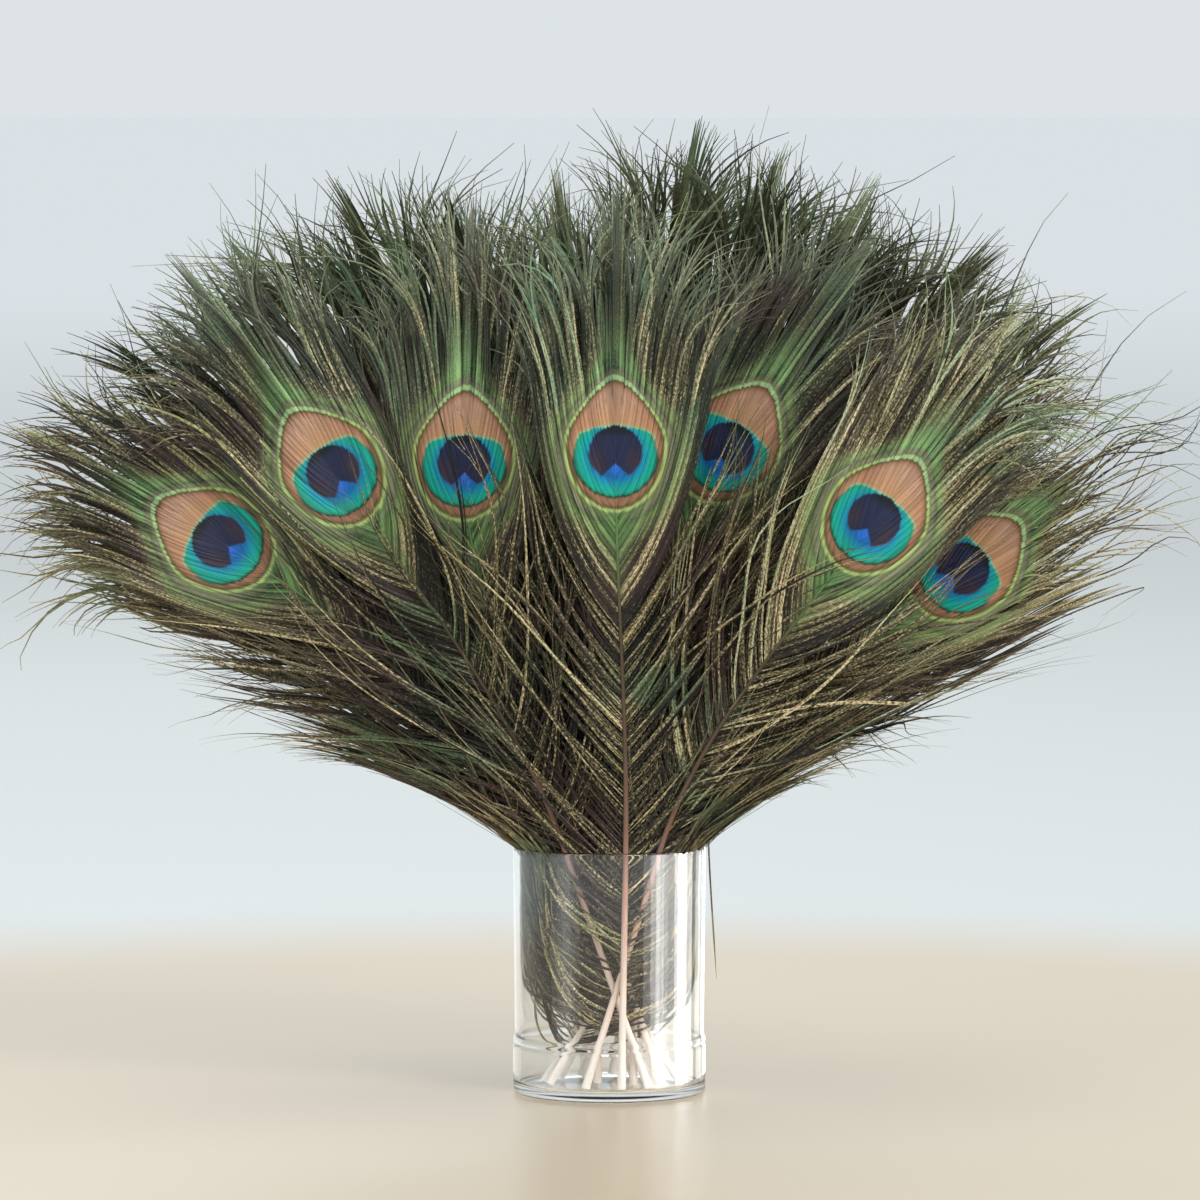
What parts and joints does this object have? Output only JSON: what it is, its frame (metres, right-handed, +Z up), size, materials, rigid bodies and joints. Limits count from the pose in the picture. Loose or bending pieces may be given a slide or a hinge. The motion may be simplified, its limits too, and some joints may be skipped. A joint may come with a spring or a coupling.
{
  "type": "bunch of peacock feathers in a vase",
  "caption": "Fan-shaped bunch of natural peacock eye feathers with loose olive-bronze barbs, standing in a straight clear round vase.",
  "frame": {"origin": "centre of the vase's flat underside", "axes": "+Z up through the vase, +X to the right along the fan as seen from its front, +Y from its front to its back"},
  "size_m": [0.4169, 0.1556, 0.3294],
  "materials": {
    "clear_glass": "polished, clear",
    "feather": "satin barbs with an iridescent eye, on a smooth cream to brown shaft"
  },
  "bodies": {
    "root": {"vase": "clear_glass", "feather_front_1": "feather", "feather_front_2": "feather", "feather_front_3": "feather", "feather_front_4": "feather", "feather_front_5": "feather", "feather_front_6": "feather", "feather_front_7": "feather", "feather_back_1": "feather", "feather_back_2": "feather", "feather_back_3": "feather", "feather_back_4": "feather", "feather_back_5": "feather", "feather_back_6": "feather", "feather_back_7": "feather", "feather_back_8": "feather", "feather_back_9": "feather", "feather_back_10": "feather", "feather_back_11": "feather", "feather_back_12": "feather", "feather_back_13": "feather"}
  },
  "joints": []
}
